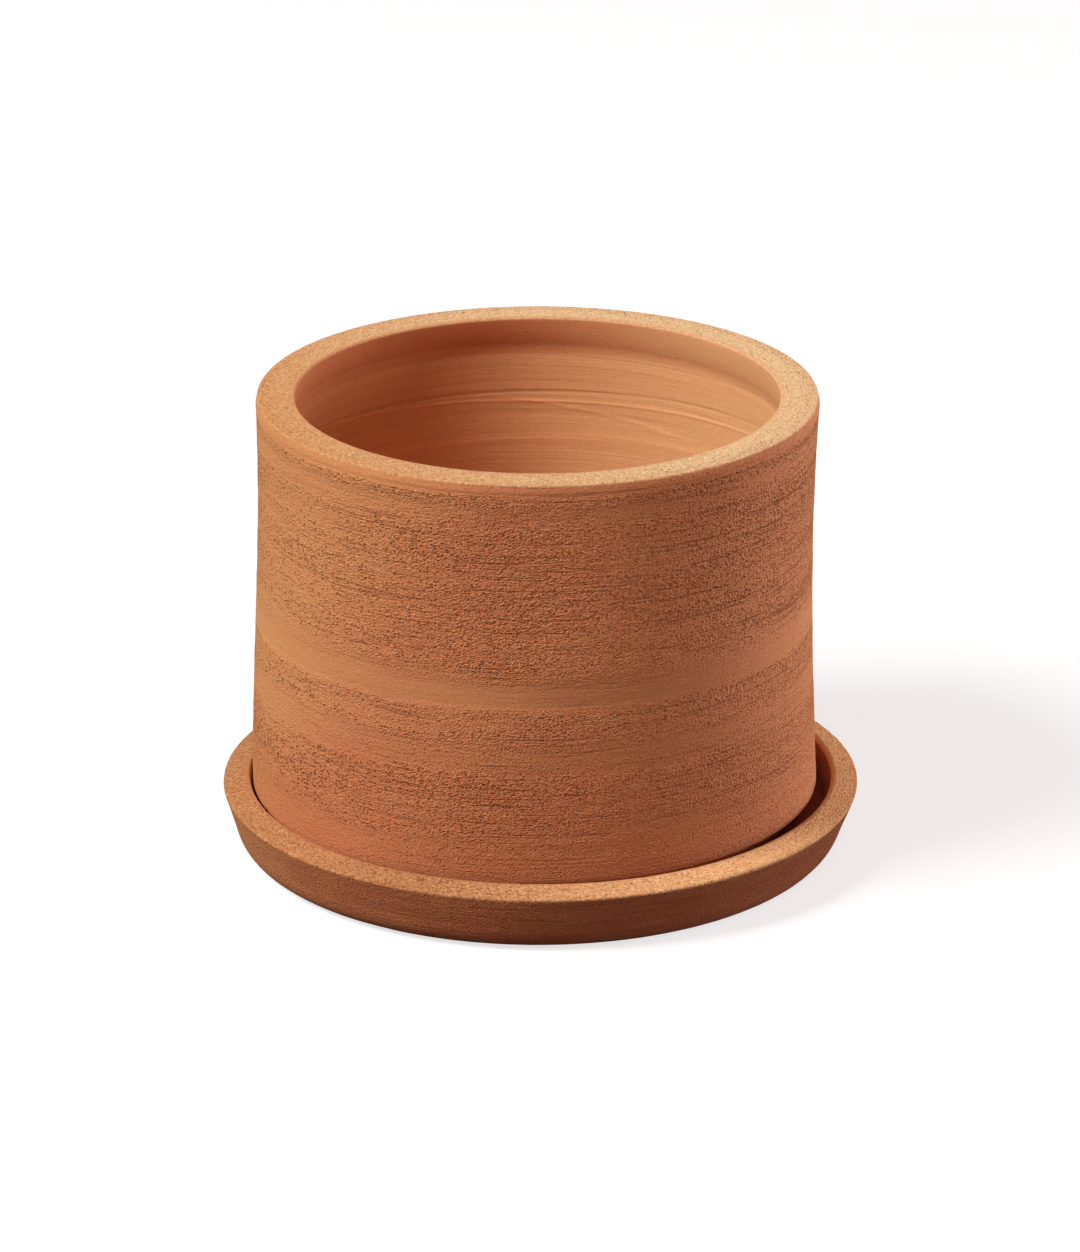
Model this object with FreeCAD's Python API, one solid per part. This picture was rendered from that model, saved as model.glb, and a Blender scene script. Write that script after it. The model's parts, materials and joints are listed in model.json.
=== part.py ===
import FreeCAD
import Part
import os

# A thick-walled terracotta plant pot that stands loose in its own saucer.
# Millimetres, +Z up. The origin is the centre of the saucer's underside.

# Outside of the pot
POT_HEIGHT = 172.5              # foot ring to rim
RIM_DIAMETER = 219.8
BASE_DIAMETER = 224.8           # across the arris, the sharp lower edge of the wall
WALL_HOLLOW = 1.6               # how far the wall curves in between the arris and the rim
RIM_BAND_HEIGHT = 3.0           # pared band below the outer edge of the rim
RIM_BAND_INSET = 0.7            # how far that band leans in
RIM_OUTER_ROUND = 0.5
ARRIS_ROUND = 1.2
BEVEL_HEIGHT = 12.2             # undercut from the foot ring up to the arris
BEVEL_INSET = 11.0

# Inside of the pot
RIM_WALL = 15.3                 # clay thickness at the rim
BASE_WALL = 15.0                # clay thickness at the arris
RIM_INNER_ROUND = 1.2
LIP_HEIGHT = 12.0               # rolled lip on the inside of the rim
LIP_COVE = 4.5                  # hollow curve from the lip to the inner wall
LIP_OVERHANG = 2.8
POT_FLOOR = 14.0                # foot ring to the inner floor
FLOOR_CORNER_ROUND = 16.0

# Foot ring and drain hole
FOOT_RING_WIDTH = 14.0
FOOT_HOLLOW = 1.5               # the underside is set back by this inside the foot ring
FOOT_EDGE_ROUND = 0.8
DRAIN_DIAMETER = 22.0
DRAIN_EDGE_ROUND = 1.5

# Saucer
SEAT_CLEARANCE = 3.8            # arris to the inner edge of the saucer's rim, if centred
SEAT_SHIFT_SHARE = 0.4          # share of that clearance by which the pot stands towards -X
SAUCER_RIM_WIDTH = 10.4
SAUCER_HEIGHT = 27.4
SAUCER_RIM_DROP = 2.9           # the rim slopes down to the outside
SAUCER_FLOOR = 13.0
SAUCER_FLARE = 8.4              # the outside widens by this from the foot to the rim
SAUCER_FOOT_ROUND = 11.0
SAUCER_WALL_LEAN = 4.0          # the inside narrows by this from the rim to the floor
SAUCER_CORNER_ROUND = 5.0
SAUCER_RIM_OUTER_ROUND = 1.0
SAUCER_RIM_INNER_ROUND = 1.0

# Sizes that follow
RIM_RADIUS = RIM_DIAMETER / 2
BASE_RADIUS = BASE_DIAMETER / 2
DRAIN_RADIUS = DRAIN_DIAMETER / 2
MOUTH_RADIUS = RIM_RADIUS - RIM_WALL
FOOT_RADIUS = BASE_RADIUS - BEVEL_INSET
SAUCER_MOUTH_RADIUS = BASE_RADIUS + SEAT_CLEARANCE
SAUCER_RADIUS = SAUCER_MOUTH_RADIUS + SAUCER_RIM_WIDTH
SEAT_SHIFT = SEAT_CLEARANCE * SEAT_SHIFT_SHARE

SAME_PLACE = 0.001              # points closer than this are the same corner
FULL_TURN = 360


def at(radius, height):
    """A point of a profile, by its distance from the axis and its height."""
    return FreeCAD.Vector(radius, 0, height)


def straight(*points):
    """Straight edges from each point to the next."""
    return [Part.LineSegment(start, end).toShape() for start, end in zip(points, points[1:])]


def curve(start, middle, end):
    """A circular arc through three points."""
    return [Part.Arc(start, middle, end).toShape()]


def turned(edges):
    """The solid that a closed profile leaves when it turns about the Z axis."""
    profile = Part.Face(Part.Wire(edges))
    return profile.revolve(at(0, 0), FreeCAD.Vector(0, 0, 1), FULL_TURN)


def corner_ring(solid, corner):
    """The round edge that one corner of the profile leaves on the turned solid."""
    for edge in solid.Edges:
        if not isinstance(edge.Curve, Part.Circle):
            continue
        same_radius = abs(edge.Curve.Radius - corner.x) < SAME_PLACE
        same_height = abs(edge.Curve.Center.z - corner.z) < SAME_PLACE
        if same_radius and same_height:
            return edge
    raise ValueError("no round edge at " + str(corner))


def rounded(solid, rounds):
    """Rounds the edges at the given corners of the profile, each by its own radius."""
    for corner, radius in rounds:
        solid = solid.makeFillet(radius, [corner_ring(solid, corner)])
    return solid.Solids[0]


def rim_inner_curve():
    """Rounded inner edge of the rim, from the top face down to the nose of the lip."""
    start = at(MOUTH_RADIUS + RIM_INNER_ROUND, POT_HEIGHT)
    end = at(MOUTH_RADIUS, POT_HEIGHT - RIM_INNER_ROUND)
    centre = at(start.x, end.z)
    toward_middle = (start - centre + end - centre).normalize()
    return start, end, curve(start, centre + toward_middle * RIM_INNER_ROUND, end)


def upright_arc(upright, end):
    """Point half way along the arc that leaves one point straight up or down and ends at another."""
    across = end.x - upright.x
    rise = end.z - upright.z
    radius = (across ** 2 + rise ** 2) / (2 * across)
    centre = at(upright.x + radius, upright.z)
    toward_middle = (upright - centre + end - centre).normalize()
    return centre + toward_middle * abs(radius)


def lip_curve(nose):
    """Underside of the lip: curves out from the nose to the crease, then in a cove to the upright wall."""
    drop = LIP_HEIGHT - RIM_INNER_ROUND
    wall_top = at(nose.x + LIP_OVERHANG, nose.z - drop - LIP_COVE)
    crease = nose + (wall_top - nose) * (drop / (drop + LIP_COVE))
    edges = curve(nose, upright_arc(nose, crease), crease)
    edges += curve(crease, upright_arc(wall_top, crease), wall_top)
    return wall_top, edges


def make_pot():
    """Pot with its foot ring on height zero and its axis on Z."""
    hollow_inner = at(DRAIN_RADIUS, FOOT_HOLLOW)
    hollow_outer = at(FOOT_RADIUS - FOOT_RING_WIDTH, FOOT_HOLLOW)
    foot_inner = at(hollow_outer.x, 0)
    foot_outer = at(FOOT_RADIUS, 0)
    arris = at(BASE_RADIUS, BEVEL_HEIGHT)
    band_foot = at(RIM_RADIUS, POT_HEIGHT - RIM_BAND_HEIGHT)
    rim_outer = at(RIM_RADIUS - RIM_BAND_INSET, POT_HEIGHT)
    wall_middle = (arris + band_foot) / 2 - at(WALL_HOLLOW, 0)
    rim_inner, nose, rim_round = rim_inner_curve()
    wall_top, lip = lip_curve(nose)
    floor_corner = at(BASE_RADIUS - BASE_WALL, POT_FLOOR)
    floor_inner = at(DRAIN_RADIUS, POT_FLOOR)

    edges = straight(floor_inner, hollow_inner, hollow_outer, foot_inner, foot_outer, arris)
    edges += curve(arris, wall_middle, band_foot)
    edges += straight(band_foot, rim_outer, rim_inner)
    edges += rim_round
    edges += lip
    edges += straight(wall_top, floor_corner, floor_inner)
    return rounded(turned(edges), [
        (arris, ARRIS_ROUND),
        (rim_outer, RIM_OUTER_ROUND),
        (floor_corner, FLOOR_CORNER_ROUND),
        (foot_inner, FOOT_EDGE_ROUND),
        (foot_outer, FOOT_EDGE_ROUND),
        (floor_inner, DRAIN_EDGE_ROUND),
    ])


def make_saucer():
    """Saucer with its underside on height zero: flared wall, sloping rim and flat floor."""
    underside_middle = at(0, 0)
    foot = at(SAUCER_RADIUS - SAUCER_FLARE, 0)
    rim_outer = at(SAUCER_RADIUS, SAUCER_HEIGHT - SAUCER_RIM_DROP)
    rim_inner = at(SAUCER_MOUTH_RADIUS, SAUCER_HEIGHT)
    floor_corner = at(SAUCER_MOUTH_RADIUS - SAUCER_WALL_LEAN, SAUCER_FLOOR)
    floor_middle = at(0, SAUCER_FLOOR)

    edges = straight(underside_middle, foot, rim_outer, rim_inner)
    edges += straight(rim_inner, floor_corner, floor_middle, underside_middle)
    return rounded(turned(edges), [
        (foot, SAUCER_FOOT_ROUND),
        (rim_outer, SAUCER_RIM_OUTER_ROUND),
        (rim_inner, SAUCER_RIM_INNER_ROUND),
        (floor_corner, SAUCER_CORNER_ROUND),
    ])


def main():
    """Seats the pot on the saucer's floor and writes one file for each piece."""
    pot = make_pot()
    pot.translate(FreeCAD.Vector(-SEAT_SHIFT, 0, SAUCER_FLOOR))
    pieces = {"pot": pot, "saucer": make_saucer()}

    os.makedirs("parts", exist_ok=True)
    for name, solid in pieces.items():
        solid.exportStep("parts/" + name + ".step")
        print(name, "valid:", solid.isValid(), "volume:", round(solid.Volume), "mm3")


main()
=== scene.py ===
import json
import math

import bpy
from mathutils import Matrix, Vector


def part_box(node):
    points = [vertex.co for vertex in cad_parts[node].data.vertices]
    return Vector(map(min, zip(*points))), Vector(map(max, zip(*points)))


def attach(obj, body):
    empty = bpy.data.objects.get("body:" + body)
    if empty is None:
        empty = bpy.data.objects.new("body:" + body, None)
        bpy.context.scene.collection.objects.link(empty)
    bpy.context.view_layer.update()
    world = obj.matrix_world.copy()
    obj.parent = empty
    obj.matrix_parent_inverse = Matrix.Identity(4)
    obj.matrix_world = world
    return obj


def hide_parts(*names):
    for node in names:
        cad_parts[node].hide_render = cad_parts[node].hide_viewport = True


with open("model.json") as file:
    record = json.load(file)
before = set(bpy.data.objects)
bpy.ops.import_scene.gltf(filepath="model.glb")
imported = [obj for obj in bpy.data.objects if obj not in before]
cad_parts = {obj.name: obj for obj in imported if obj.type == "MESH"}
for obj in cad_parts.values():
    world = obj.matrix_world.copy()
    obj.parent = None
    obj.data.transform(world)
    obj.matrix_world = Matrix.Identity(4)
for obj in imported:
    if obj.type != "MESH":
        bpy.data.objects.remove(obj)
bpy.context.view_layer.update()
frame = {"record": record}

bl_info = {
    "name": "Thrown terracotta pot",
    "version": (1, 0, 0),
    "blender": (4, 5, 0),
    "location": "3D View > Sidebar > Pottery",
    "description": "A thick-walled terracotta plant pot standing loose in its saucer",
    "category": "Add Mesh",
}

# Places that the frame gives, in metres
MOUNTS = {mount["name"]: mount for mount in frame["record"]["mounts"]}
POT_LOW, POT_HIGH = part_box("pot")
DRAIN = MOUNTS["drain_hole"]
POT_AXIS = Vector((DRAIN["pos_m"][0], DRAIN["pos_m"][1], 0.0))
SAUCER_AXIS = Vector((0.0, 0.0, 0.0))
DRAIN_RADIUS = DRAIN["dims"]["r_mm"] / 1000
POT_FOOT = POT_LOW.z
POT_RIM = POT_HIGH.z
POT_FLOOR = MOUNTS["inner_floor"]["pos_m"][2]
BASE_RADIUS = (POT_HIGH.y - POT_LOW.y) / 2

MM = 0.001
SAME_PLACE = 0.001 * MM  # points closer than this are one
NOISE_MEAN = 0.5  # value about which a noise field swings

# Kinds of nodes that are used most
MATH = "ShaderNodeMath"
VECTOR_MATH = "ShaderNodeVectorMath"
MAP_RANGE = "ShaderNodeMapRange"

# How much of each finish a point of an outline takes, from 0 to 1: hand is unevenness from the hands, rough
# is torn grit, inside is finger marks, edge is chipping, rim is cut clay, lip is the roll below the mouth
FINISHES = ("hand", "rough", "inside", "edge", "rim", "lip")
FINISHES_IN_SHAPE = ("hand", "rough", "inside", "edge")
FINISHES_IN_CLAY = ("rough", "inside", "rim", "lip")

# Depth below the pot's rim in mm, and how rough the scraped wall is there
WALL_ROUGHNESS = (
    (0.0, 0.15), (4.0, 0.2), (5.5, 1.0), (8.5, 0.9), (10.5, 0.5), (14.0, 0.6), (19.0, 0.95),
    (50.0, 1.0), (72.0, 0.9), (79.0, 0.4), (82.0, 0.15), (89.0, 0.15), (92.0, 0.8), (104.0, 0.75),
    (107.0, 0.45), (115.0, 0.45), (118.0, 0.9), (132.0, 0.95), (138.0, 0.8), (146.0, 0.5), (159.0, 0.4),
)

# How the thrown shapes differ from even ones
HOLLOW_LIFT = 1.5  # power that puts the hollowest place of the wall above its middle
BOW_GAIN = 27 / 4  # makes the largest value of share * (1 - share) ** 2 equal to 1
ARRIS_SHARE = 0.05  # share of the wall whose direction the lower edge is rounded to
CUT_RIM_SHARE = 0.4  # outer share of the rim that the cutting wire left rough

# Steps between the points of each outline, in mm, steps of one turn, and seeds of the uneven fields
POT_STEPS = {
    "underside": 9.0, "foot_side": 1.5, "foot": 4.0, "edge": 0.45, "wall": 0.9, "band": 0.675, "rim": 1.1,
    "lip": 0.7, "cove": 0.6, "floor_corner": 2.5, "floor": 5.0, "drain": 3.0,
}
INNER_WALL_STEPS = (1.0, 0.45, 1.5, 2.4)
SAUCER_STEPS = {"flat": 7.0, "corner": 1.0, "edge": 0.4, "wall": 0.8, "inner_wall": 1.2}
POT_COLUMNS = 248
SAUCER_COLUMNS = 360
POT_SEED = 3.0
SAUCER_SEED = 11.0

# Single finger lines inside the pot: drop below the rim, how far each stands out and its half width in mm,
# its rise to the right and to the back, and how far right in mm it starts
ALL_ROUND = -200.0
FINGER_LINES = (
    (32.2, -0.24, 0.9, 0.009, -0.049, ALL_ROUND),
    (36.2, 0.28, 0.85, -0.016, -0.073, ALL_ROUND),
    (36.7, 0.22, 0.9, -0.160, 0.0, -30.0),
    (16.1, -0.20, 0.9, -0.046, -0.079, -15.0),
    (52.0, 0.25, 1.6, 0.020, -0.020, ALL_ROUND),
)
FINGER_LINE_FADE = 30.0  # way in mm from the start of a line to its full depth
FINGER_LINES_MEET = 97 * MM  # how far behind the axis the drops are measured
FINGER_LINES_TOP = 27 * MM  # below the rim; the inner wall's closest rows start here
FINGER_LINES_END = 45 * MM  # below the rim; the closest rows end here

# Finger rings run in planes that lean a little, so that they part and meet round the wall: direction of the
# plane, and share of the finger line spacing
FINGER_RINGS = {"rings": ((0.02, -0.03, 1.0), 1.0), "fine_rings": ((-0.012, 0.018, 1.0), 0.4)}
WAVE_WIDTH = 0.2  # how far a wave from turning runs round the wall, in metres

# Marks that swing about the even surface: finish, field, depth input and gain
SURFACE_SWINGS = (
    ("hand", "wave", "Wave depth", 2.0),
    ("rough", "grit", "Grit depth", 2.0),
    ("inside", "rings", "Finger depth", 2.0),
    ("inside", "fine_rings", "Finger depth", 0.8),
)

# Marks that are cut into it: finish, field, where in the field a cut starts and is full, and depth input
SURFACE_CUTS = (
    ("rough", "drag", 0.56, 0.74, "Drag depth"),
    ("edge", "chip", 0.56, 0.70, "Chip depth"),
)

# Patterns in the clay: width round the piece and height of the marks in mm, and octaves of the noise
PATTERNS = {
    "sand": (0.85, 0.65, 1.0),
    "clods": (5.0, 1.6, 1.5),
    "drag": (30.0, 1.0, 1.0),
    "scratch": (34.0, 0.85, 0.0),
    "torn": (80.0, 8.0, 2.0),
    "lines": (160.0, 0.9, 2.0),
    "patch": (60.0, 34.0, 2.0),
    "blush": (140.0, 50.0, 1.0),
    "speck": (1.1, 1.0, 0.0),
    "grain": (1.2, 1.8, 1.0),
    "scuff": (24.0, 9.0, 2.0),
}
PATTERN_ROUGHNESS = 0.58  # strength of each octave against the one before
PIT_WIDTH = 1.4  # mm; width of the cell that holds a pit
PIT_HEIGHT = 0.85  # mm; height of that cell
PIT_LARGEST = 0.58  # largest radius of a pit, in cells
PIT_EDGE = 0.2  # width of its sloping edge, in cells

# Ways to the right, to the back and up along which the clay changes; several of them place painted light and
# shade by side
WAYS = {
    "right": (1.0, 0.0, 0.0),
    "off_left_top": (1.0, 0.0, -0.5),
    "low_right": (1.0, 0.0, -0.7),
    "low_left": (-1.0, 0.0, -0.5),
    "painted_shade_low_front": (0.4, -1.0, -0.6),
    "painted_light_left_top": (-1.0, 0.0, 0.5),
}

# How the clay of each piece differs: its colours all over, at the right and on the rim, how torn it is, how
# much more even at the right, how much painted light is at the upper left and how much second colour at the
# right (painted light on the pot, painted shade on the saucer), and the way in metres along which the rim
# changes to its paler, painted-light colour on the right
POT_CLAY = {
    "colours": ("body", "pink", "rim_left", "rim_right"),
    "tear": 1.0, "even_right": 0.45, "painted_light_left": 0.5, "painted_light_and_shade_right": 0.62,
    "rim_way": (1.0, 0.3, 0.0), "rim_start": -0.13, "rim_end": 0.03,
}
SAUCER_CLAY = {
    # the saucer's second colour is the dark pit colour, painted shade on its right
    "colours": ("saucer", "pit", "saucer_left", "saucer_right"),
    "tear": 0.7, "even_right": 0.0, "painted_light_left": 0.75, "painted_light_and_shade_right": 0.5,
    "rim_way": (1.0, 0.0, 0.0), "rim_start": -0.05, "rim_end": 0.1,
}

# Light and dark grains and streaks: the field, the share it follows, and its swing at share 0 and share 1
CLAY_SWINGS = (
    ("sand", "tear", 0.25, 1.4),
    ("grain", "grain_share", 0.0, 1.7),
    ("lines", "inside", 0.0, 0.25),
)
SWING_TINT = (0.65, 1.15, 1.35)  # how far red, green and blue follow, so that darker grains are redder
# painted shade in the grooves and painted light on the ridges of the single finger lines
LINE_PAINTED_LIGHT_AND_SHADE = 0.5  # how much paler a finger line is for each mm that it stands out

# Relief too fine for the mesh: the field, the share it follows, and its height in mm at share 0 and share 1
CLAY_RELIEFS = (
    ("sand", "tear", 0.08, 1.0),
    ("clods", "tear", 0.1, 0.3),
    ("drag", "tear", 0.05, 0.2),
    ("scratched", "tear", -0.15, -0.25),
    ("pit", "tear", -0.1, -0.55),
    ("lines", "inside", 0.0, 0.12),
)

# Lamps: colour, width in metres, and angles in degrees round the pot from the front and up
LAMPS = {
    "key": ("#FFFFFF", 1.5, -63, 47),
    "front": ("#FFBFB7", 2.0, 12, 45),
    "side": ("#FFFCFC", 1.4, 92, 6),
    "back": ("#FFFAF8", 1.4, 120, 4),
}
LAMP_TARGET = Vector((0.0, 0.0, 0.1))
FLOOR_REACH = 6.0  # metres from the middle of the floor to its edge
PAPER_GLOW = 0.72  # the paper's own light, which keeps its shadow pale


def linear(hex_colour):
    """Linear RGBA of an sRGB colour written as six hex digits."""
    shares = [int(hex_colour[i:i + 2], 16) / 255 for i in (1, 3, 5)]
    return [s / 12.92 if s <= 0.04045 else ((s + 0.055) / 1.055) ** 2.4 for s in shares] + [1.0]


def add(tree, kind, inputs=None, **settings):
    """Adds a node. An input takes a value, a socket, or a node, whose first output in use is linked."""
    node = tree.nodes.new(kind)
    for name, value in settings.items():
        setattr(node, name, value)
    for key, value in (inputs or {}).items():
        if isinstance(key, int):
            socket = node.inputs[key]
        else:
            socket = next(s for s in node.inputs if s.identifier == key)
        if isinstance(value, bpy.types.Node):
            value = next(s for s in value.outputs if s.enabled)
        if isinstance(value, bpy.types.NodeSocket):
            tree.links.new(value, socket)
        else:
            socket.default_value = value
    return node


def length(name, description, size):
    """A size that a user may change."""
    return bpy.props.FloatProperty(
        name=name, description=description, default=size, min=0.0, unit="LENGTH", precision=5)


def colour(name, description, hex_colour):
    """A clay colour that a user may change."""
    return bpy.props.FloatVectorProperty(
        name=name, description=description, default=linear(hex_colour), size=4, min=0.0, max=1.0,
        subtype="COLOR")


def power(name, description, watts):
    """Strength of a lamp."""
    return bpy.props.FloatProperty(name=name, description=description, default=watts, min=0.0, unit="POWER")


class PotSizes(bpy.types.PropertyGroup):
    """Sizes of the pot that its frame doesn't give."""
    rim_diameter: length("Rim diameter", "Across the outside of the rim", 0.2198)
    wall_hollow: length("Wall hollow", "How far the outside curves in", 0.0016)
    rim_wall: length("Rim wall", "Clay thickness at the rim", 0.0153)
    base_wall: length("Base wall", "Clay thickness at the base", 0.0150)
    rim_tilt: length("Rim tilt", "Rise of the rim from front to back", 0.0006)
    rim_bevel_height: length("Rim bevel height", "Height of the pared band below the rim's edge", 0.0030)
    rim_bevel_inset: length("Rim bevel inset", "How far that band leans in", 0.0007)
    rim_outer_round: length("Rim outer round", "Radius of the outer edge of the rim", 0.0005)
    rim_inner_round: length("Rim inner round", "Radius of the inner edge of the rim", 0.0012)
    lip_height: length("Lip height", "Height of the rolled lip inside the rim", 0.0120)
    lip_cove: length("Lip cove", "Height of the hollow curve below the lip", 0.0045)
    lip_overhang: length("Lip overhang", "How far the lip stands out from the inner wall", 0.0028)
    bevel_height: length("Bevel height", "Height of the undercut above the foot ring", 0.0122)
    bevel_inset: length("Bevel inset", "How far the foot ring stands in", 0.0110)
    arris_round: length("Lower edge round", "Radius of the lower edge of the wall", 0.0012)
    floor_round: length("Floor round", "Radius between the inner wall and the floor", 0.0160)
    foot_ring: length("Foot ring", "Width of the foot ring", 0.0140)
    foot_hollow: length("Foot hollow", "How far the underside is set back", 0.0015)
    drain_round: length("Drain hole round", "Radius of the upper edge of the drain hole", 0.0015)
    lean: length("Lean", "How far the rim stands to the right of the foot", 0.0009)
    bow: length("Bow", "How far the lower wall bows out to the left", 0.0008)


class SaucerSizes(bpy.types.PropertyGroup):
    """Sizes of the saucer that its frame doesn't give."""
    diameter: length("Diameter", "Across the rim before it is rounded", 0.2532)
    height: length("Height", "To the top of the rim before it is rounded", 0.0274)
    rim_width: length("Rim width", "Width of the sloping rim", 0.0104)
    rim_drop: length("Rim drop", "How far the rim slopes down to the outside", 0.0029)
    rim_outer_round: length("Rim outer round", "Radius of the outer edge of the rim", 0.0006)
    rim_inner_round: length("Rim inner round", "Radius of the inner edge of the rim", 0.0010)
    flare: length("Flare", "How far the outside widens upwards", 0.0084)
    foot_round: length("Foot round", "Radius of the lower edge", 0.0110)
    wall_lean: length("Wall lean", "How far the inside narrows downwards", 0.0040)
    corner_round: length("Corner round", "Radius between the inner wall and the floor", 0.0050)
    lean: length("Lean", "How far the foot stands to the left of the rim", 0.0013)


class ClaySurface(bpy.types.PropertyGroup):
    """Sizes of the marks that throwing, scraping and handling leave in the clay."""
    wave_spacing: length("Turning wave spacing", "Height of the faint waves left by turning", 0.0090)
    wave_depth: length("Turning wave depth", "Depth of the faint waves left by turning", 0.00020)
    drag_length: length("Drag length", "Length of the lines that dragged grit leaves", 0.0300)
    drag_spacing: length("Drag spacing", "Height between such lines", 0.0019)
    drag_depth: length("Drag depth", "Depth of such lines", 0.00010)
    grit_size: length("Grit size", "Size of the torn places that show in the outline", 0.0050)
    grit_depth: length("Grit depth", "Depth of the torn places that show in the outline", 0.00010)
    finger_spacing: length("Finger line spacing", "Height between finger lines inside the pot", 0.0042)
    finger_depth: length("Finger line depth", "Depth of finger lines inside the pot", 0.00012)
    chip_size: length("Chip size", "Length of small chips along sharp edges", 0.0050)
    chip_depth: length("Chip depth", "Depth of small chips along sharp edges", 0.0004)


class ClayColours(bpy.types.PropertyGroup):
    """Colours of the fired clay, several of them also painted light and shade."""
    body: colour("Body", "Main colour of the pot's fired clay", "#CE8558")
    saucer: colour("Saucer", "Main colour of the saucer's fired clay", "#A65E39")
    # pale is also painted light where it is laid on the upper left
    pale: colour("Pale", "Drier, paler patches", "#DFA064")
    # painted light: a paler, pinker colour laid on the right of the pot
    pink: colour("Pink", "Drier, pinker clay on the right of the pot", "#EA9D70")
    # red is also painted shade low on the pot, near the saucer, and under the lip
    red: colour("Red", "Hotter fired, redder patches", "#BD6640")
    rim_left: colour("Rim left", "Cut clay on the left of the pot's rim", "#C98D56")
    # painted light: paler colour on the right of the pot's rim
    rim_right: colour("Rim right", "Cut, dried clay on the right of the pot's rim", "#E6C08F")
    saucer_left: colour("Saucer rim left", "Cut clay on the left of the saucer's rim", "#B88053")
    # painted light: paler colour on the right of the saucer's rim, where the pot's shadow falls
    saucer_right: colour("Saucer rim right", "Cut, dried clay on the right of the saucer's rim", "#F0BC84")
    torn: colour("Torn", "Clay that the tool tore open", "#D68557")
    # the pit colour is also painted shade: in the pits, low at the front and on the saucer's right
    pit: colour("Pit", "Bottom of torn pits", "#7A3418")
    # the inside colour is also painted light: the lip and the inside grow paler to the right
    inside: colour("Inside", "Slip-smoothed clay inside the pot", "#DEAB75")
    grog: colour("Grog", "Pale grains of crushed fired clay", "#E9C79C")


class StageSettings(bpy.types.PropertyGroup):
    """Camera and light."""
    camera_elevation: bpy.props.FloatProperty(
        name="Camera elevation", description="Angle above the horizon", default=math.radians(20.79),
        subtype="ANGLE")
    camera_distance: length("Camera distance", "From the camera to the point it looks at", 2.297)
    target_right: length("Target right", "How far right of the middle the camera looks", 0.0003)
    target_height: length("Target height", "Height of the point that the camera looks at", 0.0879)
    focal_pixels: bpy.props.FloatProperty(
        name="Focal length", description="Focal length in pixels of the picture", default=5805.7, min=1.0)
    picture_height: bpy.props.IntProperty(
        name="Picture height", description="In pixels", default=1252, min=1)
    light_distance: length("Light distance", "From the lamps to the pot", 4.0)
    key_power: power("Key light", "Large soft light from the upper left", 174.0)
    front_power: power("Front light", "Weak soft light from the front", 34.0)
    side_power: power("Side light", "Low soft light from the right", 67.0)
    back_power: power("Back light", "Low soft light from the right and behind", 95.0)
    sky: bpy.props.FloatProperty(
        name="Sky", description="Strength of the even light all round", default=0.015, min=0.0)


class Outline:
    """Half of a cross-section, as points of radius and height with their shares of each finish."""

    def __init__(self):
        self.points = []
        self.shares = {name: [] for name in FINISHES}

    def put(self, points, **shares):
        """Adds points that all take the same shares of the finishes."""
        for point in points:
            self.points.append(point)
            for name in FINISHES:
                self.shares[name].append(shares.get(name, 0.0))

    def close(self):
        """Ends the outline where it started."""
        first = {name: self.shares[name][0] for name in FINISHES}
        self.put([self.points[0]], **first)

    def as_object(self, name, sway):
        """The outline as a chain of vertices that carry their shares and how far they sway to the right."""
        mesh = bpy.data.meshes.new(name)
        vertices = [(radius, 0.0, height) for radius, height in self.points]
        mesh.from_pydata(vertices, [(i, i + 1) for i in range(len(vertices) - 1)], [])
        values = {**self.shares, "sway": [sway(height) for radius, height in self.points]}
        for attribute, numbers in values.items():
            mesh.attributes.new(attribute, "FLOAT", "POINT").data.foreach_set("value", numbers)
        return bpy.data.objects.new(name, mesh)


def along_line(start, end, step):
    """Points from start up to, but without, the end, about one step apart."""
    count = max(1, round(math.dist(start, end) / step))
    return [tuple(a + (b - a) * i / count for a, b in zip(start, end)) for i in range(count)]


def along_arc(centre, radius, start, end, step):
    """Points on an arc between two angles in degrees, without the last one."""
    count = max(2, round(abs(math.radians(end - start)) * radius / step))
    angles = [math.radians(start + (end - start) * i / count) for i in range(count)]
    return [(centre[0] + radius * math.cos(a), centre[1] + radius * math.sin(a)) for a in angles]


def corner_arc(before, corner, after, radius, step):
    """Points on the arc that rounds a corner between two straight lines, with both of its ends."""
    corner = Vector(corner)
    back = (Vector(before) - corner).normalized()
    ahead = (Vector(after) - corner).normalized()
    half = back.angle(ahead) / 2
    start = corner + back * (radius / math.tan(half))
    end = corner + ahead * (radius / math.tan(half))
    centre = corner + (back + ahead).normalized() * (radius / math.sin(half))
    sweep = math.pi - 2 * half
    count = max(2, round(sweep * radius / step))
    points = []
    for i in range(count + 1):
        share = i / count
        toward = (start - centre) * math.sin((1 - share) * sweep) + (end - centre) * math.sin(share * sweep)
        points.append(tuple(centre + toward / math.sin(sweep)))
    return points


def between(table, place):
    """Value at a place, read straight between the pairs of a short table."""
    for (low, low_value), (high, high_value) in zip(table, table[1:]):
        if place <= high:
            return low_value + (high_value - low_value) * max(0.0, place - low) / (high - low)
    return table[-1][1]


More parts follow.
